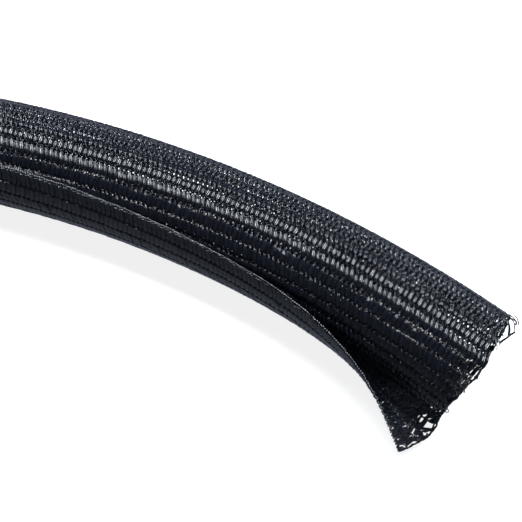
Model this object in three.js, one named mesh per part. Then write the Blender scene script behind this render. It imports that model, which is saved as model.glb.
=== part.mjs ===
import * as THREE from "three";

// A braided cable sleeve of the split, self-wrapping kind: one strip of black monofilament braid,
// set by heat so that it curls round into a tube and overlaps itself along one side.
// It lies on a level floor in a gentle bend. At one end it was cut with shears, the cut has
// frayed, and the outer flap has fallen open on to the floor. The other end is cut square.
// Millimetres, +Z up. The open end points along +X, the square end along -Y, and the seam faces
// the inside of the bend. The origin is at the middle of the base.

// The braid and the tube that it curls into
const wall = 0.75;
const closedDiameter = 25;
const stripWidth = 94;
const layerClearance = 0.4;

// The length of stock, and the bend that it lies in
const stockLength = 500;
const openEndBendRadius = 282;
const openEndBendLength = 130;
const turnOfStock = THREE.MathUtils.degToRad(90);

// How the sleeve opens towards the cut end: the tube widens slowly and its inner edge climbs,
// and the outer flap falls open late and fast, so a higher sharpness keeps it shut for longer
const openDiameter = 28;
const looseLength = 160;
const widenSharpness = 1.5;
const climbSharpness = 2;
const flapDropLength = 140;
const flapDropSharpness = 7.75;
const flapCurlLeft = 0.05;

// Where the inner free edge hangs, as an angle above the front of the tube
const innerEdgeAngleClosed = THREE.MathUtils.degToRad(-40);
const innerEdgeAngleOpen = THREE.MathUtils.degToRad(-23);

// The end as it was cut by hand: how far in the cut lies, at parts of the strip's width that run
// from the inner edge up the front, over the top and down the back to the outer edge
const cutInsets = [
  { part: 0, inset: 3.5 },
  { part: 0.1, inset: 2 },
  { part: 0.2, inset: 0.5 },
  { part: 0.3, inset: 1 },
  { part: 0.42, inset: 3.5 },
  { part: 0.6, inset: 2.5 },
  { part: 0.78, inset: 4 },
  { part: 0.86, inset: 2.5 },
  { part: 0.93, inset: 3.5 },
  { part: 1, inset: 5 },
];
const fringeDepth = 0.5;
const fringeWidth = 4.6;
const cutBlendLength = 24;

// The line that the tube has pressed flat where it lies
const restWidth = 2.4;

// Facets: round the wrapped part, across the flap, and along the sleeve, where the steps grow from
// the cut end to the plain tube
const facetsRound = 28;
const facetsAcrossFlap = 11;
const cutEndLength = 40;
const cutEndStep = 4;
const openStep = 8;
const closedStep = 16;

const bottomAngle = THREE.MathUtils.degToRad(270);
const spiralGrowth = (wall + layerClearance) / (2 * Math.PI);

function looseness(distance, length) {
  return THREE.MathUtils.clamp(1 - distance / length, 0, 1);
}

// The middle of the wall at a distance from the open end, from the inner edge round to the outer
// edge: across is the distance in front of or behind the centre line, up is the height. The tube
// stands on a flat facet, and the flap runs on from that facet with a curve of its own.
function section(distance) {
  const loose = looseness(distance, looseLength);
  const closedRadius = (closedDiameter - wall) / 2;
  const openRadius = (openDiameter - wall) / 2;
  const radius = THREE.MathUtils.lerp(closedRadius, openRadius, loose ** widenSharpness);
  const restAngle = Math.asin(restWidth / 2 / (radius + wall / 2));
  const centreHeight = (radius + wall / 2) * Math.cos(restAngle);
  const start = THREE.MathUtils.lerp(innerEdgeAngleClosed, innerEdgeAngleOpen, loose ** climbSharpness);
  const end = bottomAngle - restAngle;
  const step = (end - start) / facetsRound;
  const points = [];
  let length = 2 * radius * Math.sin(restAngle);
  for (let i = 0; i <= facetsRound; i += 1) {
    const angle = start + i * step;
    const r = radius - spiralGrowth * (end - angle);
    points.push({
      across: -r * Math.cos(angle),
      up: centreHeight + r * Math.sin(angle),
      outAcross: -Math.cos(angle),
      outUp: Math.sin(angle),
    });
    if (i > 0) length += (r - spiralGrowth * step / 2) * step;
  }
  const drop = looseness(distance, flapDropLength) ** flapDropSharpness;
  const curl = 1 - (1 - flapCurlLeft) * drop;
  const flapStep = (stripWidth - length) / facetsAcrossFlap;
  let across = -radius * Math.sin(restAngle);
  let up = centreHeight - radius * Math.cos(restAngle);
  let heading = restAngle;
  points.push({ across, up, outAcross: -Math.sin(heading), outUp: -Math.cos(heading) });
  for (let i = 0; i < facetsAcrossFlap; i += 1) {
    const r = radius + spiralGrowth * (i + 0.5) * flapStep / radius;
    const turn = flapStep * curl / r;
    across -= flapStep * Math.cos(heading + turn / 2);
    up += flapStep * Math.sin(heading + turn / 2);
    heading += turn;
    points.push({ across, up, outAcross: -Math.sin(heading), outUp: -Math.cos(heading) });
  }
  return points;
}

// The centre line on the floor, bending one way, with its end at the origin and pointing along +X
function centreLine(distance) {
  const firstTurn = openEndBendLength / openEndBendRadius;
  const restRadius = (stockLength - openEndBendLength) / (turnOfStock - firstTurn);
  const inFirst = Math.min(distance, openEndBendLength);
  const inRest = distance - inFirst;
  const turn = inFirst / openEndBendRadius;
  const heading = turn + inRest / restRadius;
  const x = -openEndBendRadius * Math.sin(turn)
    - restRadius * (Math.sin(heading) - Math.sin(turn));
  const y = -openEndBendRadius * (1 - Math.cos(turn))
    - restRadius * (Math.cos(turn) - Math.cos(heading));
  return { x, y, backAcrossX: -Math.sin(heading), backAcrossY: Math.cos(heading) };
}

// How far in from the open end the cut lies at a part of the strip's width
function cutInset(part) {
  const next = Math.max(1, cutInsets.findIndex((point) => point.part >= part));
  const from = cutInsets[next - 1];
  const to = cutInsets[next];
  const share = THREE.MathUtils.smoothstep(part, from.part, to.part);
  const travelled = part * stripWidth;
  const fringe = Math.cos(2 * Math.PI * travelled / fringeWidth) * Math.sin(travelled);
  return THREE.MathUtils.lerp(from.inset, to.inset, share) + fringeDepth * fringe;
}

// The distances in to the cut at the same places across the strip as a section's points
function cutLine() {
  const end = section(0);
  let travelled = 0;
  const distances = end.map((point, i) => {
    if (i > 0) {
      travelled += Math.hypot(point.across - end[i - 1].across, point.up - end[i - 1].up);
    }
    return travelled;
  });
  return distances.map((distance) => cutInset(distance / travelled));
}

function place(distance, across, up) {
  const line = centreLine(distance);
  return [line.x + line.backAcrossX * across, line.y + line.backAcrossY * across, up];
}

// Even steps of about the given size, from just after the start to the end
function steps(start, end, size) {
  const count = Math.max(1, Math.round((end - start) / size));
  return Array.from({ length: count }, (_, i) => start + (end - start) * (i + 1) / count);
}

function braidedSleeve() {
  const cut = cutLine();
  const rows = [
    0,
    ...steps(0, cutEndLength, cutEndStep),
    ...steps(cutEndLength, looseLength, openStep),
    ...steps(looseLength, stockLength, closedStep),
  ];
  const across = cut.length;
  const vertices = [];
  for (const row of rows) {
    const outside = [];
    const inside = [];
    for (let i = 0; i < across; i += 1) {
      const distance = row + cut[i] * looseness(row, cutBlendLength);
      const point = section(distance)[i];
      const outAcross = point.outAcross * wall / 2;
      const outUp = point.outUp * wall / 2;
      outside.push(place(distance, point.across + outAcross, point.up + outUp));
      inside.push(place(distance, point.across - outAcross, point.up - outUp));
    }
    vertices.push(...outside, ...inside.reverse());
  }
  const ring = 2 * across;
  const faces = [];
  for (let row = 0; row + 1 < rows.length; row += 1) {
    for (let i = 0; i < ring; i += 1) {
      const next = (i + 1) % ring;
      const a = row * ring + i;
      const b = row * ring + next;
      const c = (row + 1) * ring + next;
      const d = (row + 1) * ring + i;
      faces.push(a, b, c, a, c, d);
    }
  }
  const last = (rows.length - 1) * ring;
  for (let i = 0; i + 1 < across; i += 1) {
    const j = ring - 1 - i;
    faces.push(i, j, j - 1, i, j - 1, i + 1);
    faces.push(last + i, last + j - 1, last + j, last + i, last + i + 1, last + j - 1);
  }
  const geometry = new THREE.BufferGeometry();
  geometry.setAttribute("position", new THREE.Float32BufferAttribute(vertices.flat(), 3));
  geometry.setIndex(faces);
  geometry.computeBoundingBox();
  const box = geometry.boundingBox;
  geometry.translate(-(box.min.x + box.max.x) / 2, -(box.min.y + box.max.y) / 2, -box.min.z);
  geometry.computeVertexNormals();
  return geometry;
}

const blackBraid = new THREE.MeshStandardMaterial({
  color: 0x14161c,
  roughness: 0.38,
  metalness: 0,
  side: THREE.DoubleSide,
});

const sleeve = new THREE.Mesh(braidedSleeve(), blackBraid);
sleeve.name = "braided_sleeve";

const part = new THREE.Group();
part.add(sleeve);

export default part;
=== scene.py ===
import math

import bpy
import numpy as np
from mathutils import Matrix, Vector


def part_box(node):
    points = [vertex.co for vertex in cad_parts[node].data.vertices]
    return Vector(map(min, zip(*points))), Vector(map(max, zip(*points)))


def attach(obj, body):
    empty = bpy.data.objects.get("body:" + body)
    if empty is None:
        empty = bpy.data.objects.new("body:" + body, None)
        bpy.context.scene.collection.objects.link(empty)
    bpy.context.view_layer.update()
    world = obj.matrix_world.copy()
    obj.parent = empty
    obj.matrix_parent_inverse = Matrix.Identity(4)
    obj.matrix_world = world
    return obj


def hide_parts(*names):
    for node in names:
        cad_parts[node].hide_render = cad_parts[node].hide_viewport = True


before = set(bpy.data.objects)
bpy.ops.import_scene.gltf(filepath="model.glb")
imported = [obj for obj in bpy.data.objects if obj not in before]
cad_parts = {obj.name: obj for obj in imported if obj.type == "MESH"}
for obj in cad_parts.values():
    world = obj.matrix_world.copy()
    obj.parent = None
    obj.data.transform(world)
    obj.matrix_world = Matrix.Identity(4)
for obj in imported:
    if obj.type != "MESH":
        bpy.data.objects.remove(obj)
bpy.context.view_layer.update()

# The sleeve's line on the floor: one length of stock in a gentle bend, whose cut end points along
# +X and whose square end points along -Y. Places are worked out in millimetres.
MM = 0.001
STOCK_LENGTH = 500.0
OPEN_END_BEND_RADIUS = 282.0
OPEN_END_BEND_LENGTH = 130.0
TURN_OF_STOCK = math.radians(90)


def centre_line(distance):
    """The centre line's place, and the way across it to the back, at distances from the cut end."""
    first_turn = OPEN_END_BEND_LENGTH / OPEN_END_BEND_RADIUS
    rest_radius = (STOCK_LENGTH - OPEN_END_BEND_LENGTH) / (TURN_OF_STOCK - first_turn)
    in_first = np.minimum(distance, OPEN_END_BEND_LENGTH)
    turn = in_first / OPEN_END_BEND_RADIUS
    heading = turn + (distance - in_first) / rest_radius
    x = -OPEN_END_BEND_RADIUS * np.sin(turn) - rest_radius * (np.sin(heading) - np.sin(turn))
    y = -OPEN_END_BEND_RADIUS * (1 - np.cos(turn)) - rest_radius * (np.cos(turn) - np.cos(heading))
    return x, y, -np.sin(heading), np.cos(heading)


# The strip of braid, as it curls round into a tube and overlaps itself. Heat has set the curl, and
# towards the cut end the tube widens, its inner edge climbs and its outer flap lies on the floor.
WALL = 0.75
CLOSED_DIAMETER = 25.0
OPEN_DIAMETER = 28.0
STRIP_WIDTH = 94.0
LAYER_CLEARANCE = 0.4
LOOSE_LENGTH = 160.0
WIDEN_SHARPNESS = 1.5
CLIMB_SHARPNESS = 2.0
FLAP_DROP_LENGTH = 140.0
FLAP_DROP_SHARPNESS = 7.75
FLAP_CURL_LEFT = 0.05
INNER_EDGE_CLOSED = math.radians(-40)
INNER_EDGE_OPEN = math.radians(-23)
REST_WIDTH = 2.4
SPIRAL_GROWTH = (WALL + LAYER_CLEARANCE) / (2 * math.pi)
STEPS_ROUND = 90
STEPS_ACROSS_FLAP = 40


def looseness(distance, length):
    return np.clip(1 - distance / length, 0, 1)


def section(distance, places):
    """Across, up and the outward way, at places across the strip from its inner to its outer edge."""
    loose = looseness(distance, LOOSE_LENGTH)
    closed = (CLOSED_DIAMETER - WALL) / 2
    radius = closed + ((OPEN_DIAMETER - WALL) / 2 - closed) * loose ** WIDEN_SHARPNESS
    rest = math.asin(REST_WIDTH / 2 / (radius + WALL / 2))
    height = (radius + WALL / 2) * math.cos(rest)
    climb = loose ** CLIMB_SHARPNESS
    start = INNER_EDGE_CLOSED + (INNER_EDGE_OPEN - INNER_EDGE_CLOSED) * climb
    end = math.radians(270) - rest
    angle = np.linspace(start, end, STEPS_ROUND + 1)
    r = radius - SPIRAL_GROWTH * (end - angle)
    across = -r * np.cos(angle)
    up = height + r * np.sin(angle)
    out_across = -np.cos(angle)
    out_up = np.sin(angle)
    length = np.sum(np.hypot(np.diff(across), np.diff(up))) + 2 * radius * math.sin(rest)
    drop = looseness(distance, FLAP_DROP_LENGTH) ** FLAP_DROP_SHARPNESS
    curl = 1 - (1 - FLAP_CURL_LEFT) * drop
    step = (STRIP_WIDTH - length) / STEPS_ACROSS_FLAP
    count = np.arange(STEPS_ACROSS_FLAP)
    turn = step * curl / (radius + SPIRAL_GROWTH * (count + 0.5) * step / radius)
    heading = rest + np.concatenate([[0], np.cumsum(turn)])
    middle = heading[:-1] + turn / 2
    flap_across = -radius * math.sin(rest) - np.concatenate([[0], np.cumsum(step * np.cos(middle))])
    flap_up = height - radius * math.cos(rest) + np.concatenate([[0], np.cumsum(step * np.sin(middle))])
    across = np.concatenate([across, flap_across])
    up = np.concatenate([up, flap_up])
    out_across = np.concatenate([out_across, -np.sin(heading)])
    out_up = np.concatenate([out_up, -np.cos(heading)])
    travelled = np.concatenate([[0], np.cumsum(np.hypot(np.diff(across), np.diff(up)))])
    travelled *= STRIP_WIDTH / travelled[-1]
    return [np.interp(places, travelled, values) for values in (across, up, out_across, out_up)]


ROW_STEP = 2.0
PLACE_STEP = 0.5
rows = np.arange(0, STOCK_LENGTH + ROW_STEP / 2, ROW_STEP)
places = np.arange(0, STRIP_WIDTH + PLACE_STEP / 2, PLACE_STEP)
sections = np.array([np.stack(section(row, places), -1) for row in rows])
low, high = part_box("braided_sleeve")
end_x, end_y, _, _ = centre_line(STOCK_LENGTH)
open_end_x = low[0] / MM - (end_x - sections[-1, :, 0].max() - WALL / 2)
open_end_y = low[1] / MM - end_y


def on_strip(distance, place, lift):
    """Points of the strip: distance from the cut end, place across it, lift from its middle."""
    row = np.clip(distance / ROW_STEP, 0, len(rows) - 1.001)
    column = np.clip(place / PLACE_STEP, 0, len(places) - 1.001)
    i, j = row.astype(int), column.astype(int)
    u, v = (row - i)[:, None], (column - j)[:, None]
    found = (1 - u) * ((1 - v) * sections[i, j] + v * sections[i, j + 1])
    found += u * ((1 - v) * sections[i + 1, j] + v * sections[i + 1, j + 1])
    across, up, out_across, out_up = found.T
    x, y, back_x, back_y = centre_line(distance)
    point = np.stack([x + back_x * across, y + back_y * across, up], -1)
    out = np.stack([back_x * out_across, back_y * out_across, out_up], -1)
    out /= np.linalg.norm(out, axis=1)[:, None]
    return point + out * lift[:, None] + [open_end_x, open_end_y, 0], out


# What every thread is made of: black polyester monofilament, drawn from the melt, so it is smooth
# and shines in narrow bright streaks. Four filaments lie side by side in a thread, and their round
# tops, drawn at their true size of about 0.3 mm, split each highlight into fine lines.
FILAMENTS_IN_THREAD = 4
FILAMENT_RELIEF = 0.12


def linear(hex_colour):
    """An sRGB hex colour as Blender's linear colour."""
    parts = [int(hex_colour[i:i + 2], 16) / 255 for i in (1, 3, 5)]
    return [*(p / 12.92 if p <= 0.04045 else ((p + 0.055) / 1.055) ** 2.4 for p in parts), 1]


def node(tree, kind, settings=None, **inputs):
    """Adds a node with its settings and links: an input is a value or another node's output."""
    made = tree.nodes.new(kind)
    for key, value in (settings or {}).items():
        setattr(made, key, value)
    for key, value in inputs.items():
        numbered = key[0] == "i" and key[1:].isdigit()
        socket = made.inputs[int(key[1:]) if numbered else key.replace("_", " ")]
        if isinstance(value, bpy.types.NodeSocket):
            tree.links.new(value, socket)
        else:
            socket.default_value = value
    return made


polyester = bpy.data.materials.new("black_polyester_monofilament")
polyester.use_nodes = True
tree = polyester.node_tree
tree.nodes.clear()
uv = node(tree, "ShaderNodeUVMap", {"uv_map": "thread"})
parts = node(tree, "ShaderNodeSeparateXYZ", Vector=uv.outputs["UV"])
turns = node(tree, "ShaderNodeMath", {"operation": "MULTIPLY"}, i0=parts.outputs["X"],
             i1=math.pi * FILAMENTS_IN_THREAD)
round_tops = node(tree, "ShaderNodeMath", {"operation": "SINE"}, i0=turns.outputs[0])
tops = node(tree, "ShaderNodeMath", {"operation": "ABSOLUTE"}, i0=round_tops.outputs[0])
bump = node(tree, "ShaderNodeBump", Strength=1.0, Distance=FILAMENT_RELIEF * MM, Height=tops.outputs[0])
shader = node(tree, "ShaderNodeBsdfPrincipled", Base_Color=linear("#05060b"), Roughness=0.12, IOR=1.57,
              Normal=bump.outputs["Normal"])
node(tree, "ShaderNodeOutputMaterial", Surface=shader.outputs["BSDF"])


def of_braid(piece):
    """Gives a piece of the sleeve its material, and its place in the record."""
    piece.data.materials.append(polyester)
    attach(piece, "root")
    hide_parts("braided_sleeve")


# The cut: made by hand with shears, a little askew, so it lies further in at some places across the
# strip than at others. Near it some threads have been dragged apart and show the light between them.
CUT_PLACES = [0, 7, 12, 15.5, 17.5, 22.5, 25.3, 26, 28.3, 28.8, 30, 32,
              34, 36, 44, 60, 74, 77, 80.5, 84, 87.5, 94]
CUT_INSETS = [3.5, 2, 0.5, 0.25, -0.2, -0.4, 0.6, 1.6, 2.2, 0.4, 0.5, 1.2,
              2.5, 3.2, 3, 2.5, 4, 3, 2, 2, 3, 4.6]
# Distance in, place across, and half of how far it is open along and across the strip
OPENINGS = [
    (5, 76.8, 0.5, 0.9), (4.5, 79.5, 0.5, 0.6), (3.5, 81.2, 0.8, 1.3), (5.2, 81.8, 0.4, 0.9),
    (5.8, 80, 0.3, 0.6), (6.3, 82, 0.3, 0.5), (7.2, 86.8, 0.4, 0.5), (5, 86.8, 0.4, 0.5),
    (3.2, 84, 0.5, 0.7), (5.5, 84.8, 0.3, 0.4), (4.5, 85, 0.3, 0.4), (4, 88.8, 0.3, 0.3),
    (1, 19.8, 1, 1.1), (1.9, 20.6, 0.4, 0.8), (1.5, 18.2, 0.9, 0.8), (1.4, 15, 1.1, 1.2),
    (1.6, 13.6, 0.7, 0.6), (1.4, 12.5, 0.5, 0.4), (1.3, 29.3, 0.6, 0.5), (4.2, 29.8, 0.3, 0.5),
    (4.5, 33.8, 0.25, 0.4),
]


def cut_inset(place):
    return np.interp(place, CUT_PLACES, CUT_INSETS)


def dragged(distance, place):
    """Where a thread lies once the openings near the cut have pushed it aside."""
    moved = distance.copy()
    for inset, at, half_along, half_across in OPENINGS:
        away = distance - inset
        reach = 0.5 + half_along
        share = np.exp(-((place - at) / half_across) ** 2 - (away / (2 * reach)) ** 2)
        moved += np.where(away < 0, -1, 1) * half_along * share
    return moved


# The threads: each is a flat bundle of four black polyester monofilaments. They cross the strip on
# two slants, one over and one under, so the braid shows columns of lens-shaped floats.
THREAD_PITCH = 1.225
COLUMNS = 30
COLUMN_WIDTH = STRIP_WIDTH / COLUMNS
FIRST_COLUMN = -0.13
INNER_BORDER = 0.1
OUTER_BORDER = (COLUMNS + FIRST_COLUMN) * COLUMN_WIDTH
SLANT = THREAD_PITCH / COLUMN_WIDTH / 2
SKEW = 0.2
STRAIGHTER_FLOATS = 0.5
WAVE = 0.2
WIDE_THREAD = 1.38
NARROW_THREAD = 1.02
THREAD_THICKNESS = 0.3
NEAR_CUT = 12
SHORT_OF_CUT = 0.45
# From this column, and these places, on towards the seam the threads are wider and more even, so
# the flap is denser than the tube
FLAP_FIRST_COLUMN = 21
FLAP_PLACES = [64, 70]
FLAP_WIDTHS = [1, 1.12]
# Along the back the strip stands a little fuller than the plain curl
BACK_BULGE = 0.2
BACK_PLACE = 40
BACK_REACH = 9
# The columns sway from side to side along the sleeve
SWAY = 0.13
SWAY_LENGTH = 110
SWAY_START = 60
# Where the fully shaped threads of the photographed end give way to plainer ones
NEAR = 150.0
# Along a float, as parts of a column: how high the thread lies, and how wide it spreads
FLOAT_SHAPES = {
    6: ([0.03, 0.12, 0.27, 0.81, 0.88, 0.95], [0.2, 1.05, 1.12, 1.12, 1.05, 0.1],
        [0.55, 0.65, 1, 0.85, 0.45, 0.25], [0.5, 0.5, 0.65, 0.65, 0.5, 0.5]),
    2: ([0.2, 0.8], [0.95, 0.95], [1, 1], [0.6, 0.6]),
}


def thread_ring(sides, tops):
    """The corners of a thread's cross-sections, as parts of its half width and half thickness."""
    if sides == 4:
        ring = np.array([(-1, 0), (0, 1), (1, 0), (0, -1)], float)
        return np.repeat(ring[None], len(tops), axis=0)
    ring = np.array([(-1, -0.2), (-1, 0.85), (1, 0.85), (1, -0.2), (0.55, -0.9), (-0.55, -0.9)])
    ring = np.repeat(ring[None], len(tops), axis=0)
    ring[:, 1:3, 0] *= tops[:, None]
    return ring


def sweep(points, out, widths, thicknesses, sides, tops=None):
    """A thread's vertices, quads and the place of each vertex along and across it."""
    along = np.gradient(points, axis=0)
    along /= np.linalg.norm(along, axis=1)[:, None]
    side = np.cross(out, along)
    side /= np.linalg.norm(side, axis=1)[:, None]
    face = np.cross(along, side)
    ring = thread_ring(sides, np.full(len(points), 0.6) if tops is None else tops)
    vertices = points[:, None] + ring[:, :, :1] * side[:, None] * widths[:, None, None] / 2
    vertices += ring[:, :, 1:] * face[:, None] * thicknesses[:, None, None] / 2
    count = len(points)
    k = np.arange(count - 1)[:, None] * sides
    a = np.arange(sides)[None]
    b = (a + 1) % sides
    quads = np.stack([k + a, k + b, k + sides + b, k + sides + a], -1).reshape(-1, 4)
    travelled = np.concatenate([[0], np.cumsum(np.linalg.norm(np.diff(points, axis=0), axis=1))])
    uv = np.empty((count, sides, 2))
    uv[:, :, 0] = (ring[:, :, 0] + 1) / 2
    uv[:, :, 1] = travelled[:, None]
    return vertices.reshape(-1, 3), quads, uv.reshape(-1, 2)


def joined(name, strands, sides):
    """One mesh object of many swept strands, with closed ends and smooth shading."""
    vertices, quads, uvs, caps = [], [], [], []
    base = 0
    for points, faces, uv in strands:
        vertices.append(points)
        quads.append(faces + base)
        uvs.append(uv)
        caps.append([base + i for i in range(sides)][::-1])
        caps.append([base + len(points) - sides + i for i in range(sides)])
        base += len(points)
    quads = np.concatenate(quads)
    uvs = np.concatenate(uvs)
    mesh = bpy.data.meshes.new(name)
    loops = np.concatenate([quads.ravel(), np.ravel(caps)]).astype(np.int32)
    sizes = np.concatenate([np.full(len(quads), 4), np.full(len(caps), sides)])
    mesh.vertices.add(base)
    mesh.vertices.foreach_set("co", (np.concatenate(vertices) * MM).astype(np.float32).ravel())
    mesh.loops.add(len(loops))
    mesh.loops.foreach_set("vertex_index", loops)
    mesh.polygons.add(len(sizes))
    starts = np.concatenate([[0], np.cumsum(sizes)[:-1]]).astype(np.int32)
    mesh.polygons.foreach_set("loop_start", starts)
    layer = mesh.uv_layers.new(name="thread")
    layer.data.foreach_set("uv", uvs[loops].astype(np.float32).ravel())
    mesh.update(calc_edges=True)
    mesh.polygons.foreach_set("use_smooth", np.ones(len(sizes), dtype=bool))
    mesh.validate()
    piece = bpy.data.objects.new(name, mesh)
    bpy.context.scene.collection.objects.link(piece)
    return piece


def thread(direction, index, per_column, sides):
    """One thread's run from edge to edge of the strip, or to the cut, as swept geometry."""
    random = np.random.default_rng(1000 * (direction + 2) + index + 500)
    parts_of_column, heights, spreads, tops = (np.array(values) for values in FLOAT_SHAPES[per_column])
    column = np.arange(COLUMNS + 1)[:, None]
    uneven = random.normal(0, 1, (3, COLUMNS + 1, len(heights)))
    across = column + parts_of_column + 0.02 * uneven[0]
    float_height = heights * (1 + 0.1 * uneven[1][:, :1]) + 0.06 * uneven[1]
    place = ((across + FIRST_COLUMN) * COLUMN_WIDTH).ravel()
    spreads = np.where(across + FIRST_COLUMN > FLAP_FIRST_COLUMN, 0.72 + 0.28 * spreads, spreads)
    wave = -((-1.0) ** column * float_height).ravel() * direction
    spread = (spreads * (1 + 0.02 * uneven[2])).ravel()
    top = np.tile(tops, COLUMNS + 1)
    start = index * THREAD_PITCH + (THREAD_PITCH / 2 if direction < 0 else 0)
    lag = STRAIGHTER_FLOATS * np.sin(2 * np.pi * across.ravel()) / (2 * np.pi)
    slanted = direction * THREAD_PITCH / 2 * (across.ravel() + lag)
    distance = start + SKEW * place + slanted + random.normal(0, 0.02)
    sway = np.cos(2 * np.pi * (distance - SWAY_START) / SWAY_LENGTH) - 0.3
    free = 1 - (2 * place / STRIP_WIDTH - 1) ** 4
    place = place + SWAY * COLUMN_WIDTH * sway * free
    kept = np.flatnonzero((distance >= cut_inset(place) + SHORT_OF_CUT) & (distance <= STOCK_LENGTH)
                          & (place > INNER_BORDER) & (place < OUTER_BORDER))
    if len(kept) < 4:
        return None
    kept = slice(kept[0], kept[-1] + 1)
    place, distance, wave = place[kept], distance[kept], wave[kept]
    spread, top = spread[kept], top[kept]
    if distance.min() < NEAR_CUT:
        moved = dragged(distance, place)
        spread = spread * (1 - 0.5 * np.clip(np.abs(moved - distance) / 0.5, 0, 1))
        distance = moved
    bulge = BACK_BULGE * np.exp(-((place - BACK_PLACE) / BACK_REACH) ** 2)
    points, out = on_strip(distance, place, WAVE * wave + bulge)
    widths = (WIDE_THREAD if index % 2 else NARROW_THREAD) * spread * random.uniform(0.98, 1.02)
    widths *= np.interp(place, FLAP_PLACES, FLAP_WIDTHS)
    thicknesses = THREAD_THICKNESS * (1.5 - 0.5 * spread)
    return sweep(points, out, widths, thicknesses, sides, top)


def braid(name, direction, first, last, per_column, sides):
    """One piece of the threads on one slant, from the first index up to the last."""
    strands = [thread(direction, index, per_column, sides) for index in range(first, last)]
    of_braid(joined(name, [strand for strand in strands if strand], sides))


for direction, word in ((1, "right"), (-1, "left")):
    rise = (SKEW + direction * SLANT) * STRIP_WIDTH
    first = math.floor(-max(rise, 0) / THREAD_PITCH)
    near = math.ceil((NEAR - min(rise, 0)) / THREAD_PITCH)
    last = math.ceil((STOCK_LENGTH - min(rise, 0)) / THREAD_PITCH)
    half, middle = (first + near) // 2, (near + last) // 2
    braid(f"near_threads_leaning_{word}_1", direction, first, half, 6, 6)
    braid(f"near_threads_leaning_{word}_2", direction, half, near, 6, 6)
    braid(f"far_threads_leaning_{word}_1", direction, near, middle, 2, 4)
    braid(f"far_threads_leaning_{word}_2", direction, middle, last, 2, 4)


# The selvedges: at both free edges each thread turns back on itself in a small round loop, and the
# row of loops stands a little proud of the strip.
LOOP_THICKNESS = 0.36
LOOP_WIDTH = 0.46
OUTER_LOOPS = 93.2
INNER_LOOPS = 0.8
LAST_LOOP = STOCK_LENGTH - 0.4
TOP_OF_A_FILAMENT = 0.125


def selvedge(name, border, edge, start, end, steps, sides):
    """A row of turned threads, from the last column of floats to the free edge."""
    random = np.random.default_rng(round(10 * edge) + 7)
    t = np.linspace(-1, 1, steps)
    strands = []
    for distance in np.arange(start, end, THREAD_PITCH / 2):
        if distance < cut_inset(edge) + 0.2:
            continue
        drift = sum(np.sin(distance / length + length) for length in (2.1, 5.3, 9.0))
        reach = 0.8 + 0.08 * drift + random.normal(0, 0.05)
        place = border + (edge - border) * (reach - 1.2 * t * t)
        along = distance + THREAD_PITCH * (0.1 + random.normal(0, 0.02)) * t
        lift = 0.08 * (1 - t * t) + random.normal(0, 0.03) + 0.1 * t
        points, out = on_strip(along, place, lift)
        outwards = points - on_strip(along, place - np.sign(edge - border), lift)[0]
        outwards /= np.linalg.norm(outwards, axis=1)[:, None]
        out = out * np.maximum(out[:, 2:], 0.1) + outwards * np.maximum(outwards[:, 2:], 0)
        out /= np.linalg.norm(out, axis=1)[:, None]
        width = np.full(steps, LOOP_WIDTH * random.uniform(0.85, 1.15))
        thickness = np.full(steps, LOOP_THICKNESS)
        strands.append(sweep(points, out, width, thickness, sides, np.full(steps, 0.85)))
        strands[-1][2][:, 0] = TOP_OF_A_FILAMENT
    of_braid(joined(name, strands, sides))


selvedge("near_outer_selvedge", OUTER_LOOPS, STRIP_WIDTH, 0, NEAR, 7, 6)
selvedge("far_outer_selvedge", OUTER_LOOPS, STRIP_WIDTH, NEAR, LAST_LOOP, 5, 4)
selvedge("inner_selvedge", INNER_LOOPS, 0.0, 0, LAST_LOOP, 5, 4)


# The sealed edge: once cut, the ends were sealed by heat into a thin bead of polyester, which holds
# the threads together, apart from the back of the tube, where the bead has torn off.
BEAD_WIDTH = 0.5
BEAD_RUNS = [(0.2, 25.6), (44, 94)]


def bead(name, runs, sides):
    """The bead along the cut, over each run of places across the strip."""
    random = np.random.default_rng(3)
    strands = []
    for first, last in runs:
        place = np.arange(first, last, 0.5)
        distance = cut_inset(place) + 0.1 + random.normal(0, 0.06, len(place))
        points, out = on_strip(distance, place, random.normal(0, 0.05, len(place)))
        width = BEAD_WIDTH * random.uniform(0.8, 1.2, len(place))
        strands.append(sweep(points, out, width, width * 0.9, sides))
    of_braid(joined(name, strands, sides))


bead("sealed_edge", BEAD_RUNS, 6)


# The frayed part of the cut: threads and single filaments that hang loose from the back of the
# tube. Each is given as distance in, place across and lift, then its width.
LOOSE_THREADS = [
    ([(2.6, 36.5, 0), (1.9, 35.3, 0.1), (1, 33.8, 0.1), (0.25, 32.2, 0), (-0.25, 30.9, 0)], 0.62),
    ([(3, 39, 0.1), (1.7, 37.5, 0.3), (0.6, 36, 0.2), (0, 34.5, 0), (-0.5, 33, 0)], 0.3),
    ([(2.6, 41, 0.1), (1.8, 41, 0.1), (1.1, 40, 0.1), (0.5, 37.5, 0), (0.7, 36.4, 0)], 0.45),
    ([(3.6, 41, 0.2), (2.7, 41, 0.8), (1.9, 41, 1.0), (1.2, 41, 0.7), (0.5, 40, 0.1), (0.2, 38.5, 0)], 0.27),
    ([(3.4, 40, 0.2), (2.4, 40.5, 0.5), (1.5, 40.5, 0.3), (0.9, 39.5, 0.1)], 0.27),
    ([(-0.6, 33.4, 0), (-0.3, 31.8, 0), (-0.2, 30.4, 0), (0.1, 29, 0), (0.25, 27.9, 0)], 0.5),
    ([(2.4, 30.4, 0), (2, 29.8, 0), (1.25, 28.2, 0), (0.25, 27, 0), (-0.3, 26.1, 0)], 0.27),
    ([(1.1, 28.9, 0), (0.7, 28.5, 0), (0.3, 28.1, 0)], 0.27),
    ([(0.5, 28.5, 0), (0.25, 28, 0), (0, 27.4, 0.1), (-0.2, 26.9, 0.2)], 0.2),
    ([(2.6, 5.2, 0), (2.1, 7, 0.1), (1.3, 7.8, 0.2), (0.5, 6.9, 0.2), (1, 5.6, 0.1), (1.8, 5, 0)], 0.2),
]


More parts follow.
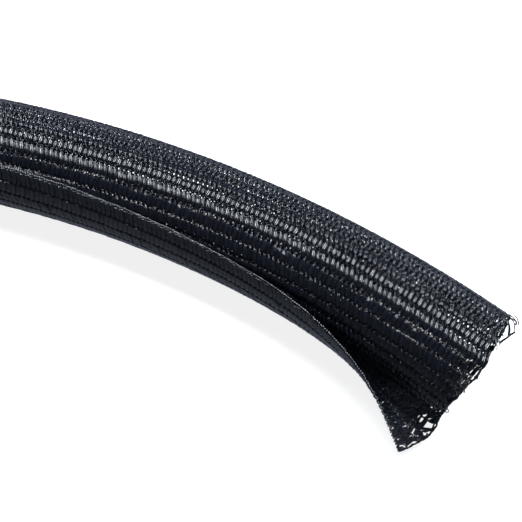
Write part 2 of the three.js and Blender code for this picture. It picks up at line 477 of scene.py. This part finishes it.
def loose_threads(name, runs, sides):
    """Each loose strand as a swept tube, rounded where its run changes direction."""
    strands = []
    for run, width in runs:
        distance, place, lift = np.array(run, float).T
        steps = np.linspace(0, len(run) - 1, 4 * len(run))
        known = np.arange(len(run))
        distance, place, lift = (np.interp(steps, known, values) for values in (distance, place, lift))
        points, out = on_strip(distance, place, lift)
        points[1:-1] = (points[:-2] + 2 * points[1:-1] + points[2:]) / 4
        widths = np.full(len(points), width)
        strands.append(sweep(points, out, widths, np.minimum(widths, THREAD_THICKNESS), sides))
    of_braid(joined(name, strands, sides))


loose_threads("loose_threads", LOOSE_THREADS, 6)


# The floor and the light of the photograph: a plain white sweep under one large soft light that
# stands above and a little behind the sleeve, two faint strip lights low behind it, and a faint
# bluish fill from all round that is stronger from the floor.
FLOOR_SIZE = 6.0
FLOOR_GLOW = 0.85
LIGHT_TURN = math.radians(14)
LIGHT_BEHIND = -0.15
FILL = 0.12
FILL_FROM_FLOOR = 0.27
FILL_STRENGTH = 1.22
bpy.ops.object.select_all(action="DESELECT")
bpy.ops.mesh.primitive_plane_add(size=FLOOR_SIZE)
floor = bpy.context.object
floor.name = "floor"
paper = bpy.data.materials.new("white_paper")
paper.use_nodes = True
matt = paper.node_tree.nodes["Principled BSDF"]
matt.inputs["Base Color"].default_value = linear("#808080")
matt.inputs["Roughness"].default_value = 0.9
matt.inputs["Emission Color"].default_value = linear("#ffffff")
matt.inputs["Emission Strength"].default_value = FLOOR_GLOW
floor.data.materials.append(paper)
floor.visible_glossy = False
floor.visible_diffuse = False
floor.visible_shadow = False
aim = Vector((open_end_x - 60, open_end_y - 6, 0)) * MM


def softbox(name, tilt, away, size, power):
    """A soft light aimed at the open end, tilted back from straight above by degrees."""
    light = bpy.data.lights.new(name, "AREA")
    light.shape = "RECTANGLE"
    light.size, light.size_y = size
    light.energy = power
    light.color = linear("#f1f9ff")[:3]
    lamp = bpy.data.objects.new(name, light)
    bpy.context.scene.collection.objects.link(lamp)
    lamp.rotation_euler = (math.radians(-tilt), 0, LIGHT_TURN)
    turned = lamp.rotation_euler.to_matrix()
    lamp.location = aim + turned @ Vector((LIGHT_BEHIND, 0, 1)) * away


softbox("overhead_softbox", 22, 1.0, (1.1, 0.6), 80)
softbox("back_lamp", 58, 1.2, (0.4, 0.06), 2.5)
softbox("low_back_lamp", 88, 1.2, (0.5, 0.1), 5)
world = bpy.data.worlds.new("studio")
bpy.context.scene.world = world
world.use_nodes = True
tree = world.node_tree
background = tree.nodes["Background"]
way = node(tree, "ShaderNodeTexCoord")
height = node(tree, "ShaderNodeSeparateXYZ", Vector=way.outputs["Generated"])
fill = node(tree, "ShaderNodeMapRange", Value=height.outputs["Z"], From_Min=0.0, From_Max=-0.2,
            To_Min=FILL, To_Max=FILL_FROM_FLOOR)
tint = node(tree, "ShaderNodeVectorMath", {"operation": "SCALE"}, i0=linear("#dbe6ff")[:3],
            Scale=fill.outputs["Result"])
tree.links.new(tint.outputs["Vector"], background.inputs["Color"])
background.inputs["Strength"].default_value = FILL_STRENGTH

# The camera of the photograph: a short telephoto that looks steeply down on the open end from the
# side of the seam. Its distance is in millimetres from a point on the floor under the open end.
CAMERA_ELEVATION = math.radians(65)
CAMERA_TURN = math.radians(39.94)
CAMERA_DISTANCE = 318.0
FOCAL_LENGTH = 90.7
camera_data = bpy.data.cameras.new("photo_camera")
camera_data.lens = FOCAL_LENGTH
camera_data.sensor_width = 36
camera_data.clip_start = 0.01
camera = bpy.data.objects.new("photo_camera", camera_data)
bpy.context.scene.collection.objects.link(camera)
flat = CAMERA_DISTANCE * math.cos(CAMERA_ELEVATION)
target = Vector((open_end_x - 59.65, open_end_y - 5.75, 0))
stand = target + Vector((flat * math.sin(CAMERA_TURN), -flat * math.cos(CAMERA_TURN),
                         CAMERA_DISTANCE * math.sin(CAMERA_ELEVATION)))
camera.location = stand * MM
camera.rotation_euler = (stand - target).to_track_quat("Z", "Y").to_euler()
bpy.context.scene.camera = camera
bpy.context.scene.view_settings.view_transform = "Standard"
